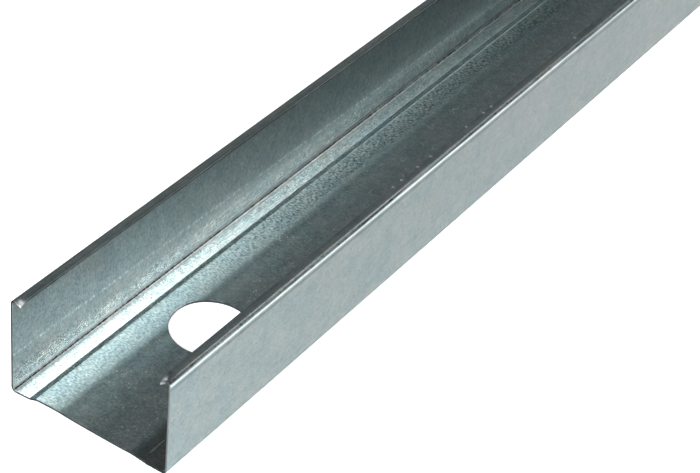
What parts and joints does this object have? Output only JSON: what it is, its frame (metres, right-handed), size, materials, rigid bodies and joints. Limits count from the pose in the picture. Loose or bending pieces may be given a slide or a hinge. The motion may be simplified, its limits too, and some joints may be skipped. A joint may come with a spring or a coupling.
{
  "type": "drywall stud",
  "caption": "Lipped channel rolled from galvanised sheet steel, with a raised web and round service holes, for framing partition walls.",
  "frame": {"origin": "middle of the stud's length, between its flanges, at the height of the web's underside", "axes": "+X runs along the stud, +Y points to the left flange, +Z points from the web to the lips"},
  "size_m": [2.4, 0.05, 0.03],
  "materials": {
    "galvanised_steel": "cold rolled galvanised sheet with a fine dull spangle"
  },
  "bodies": {
    "root": {"stud": "galvanised_steel"}
  },
  "joints": []
}
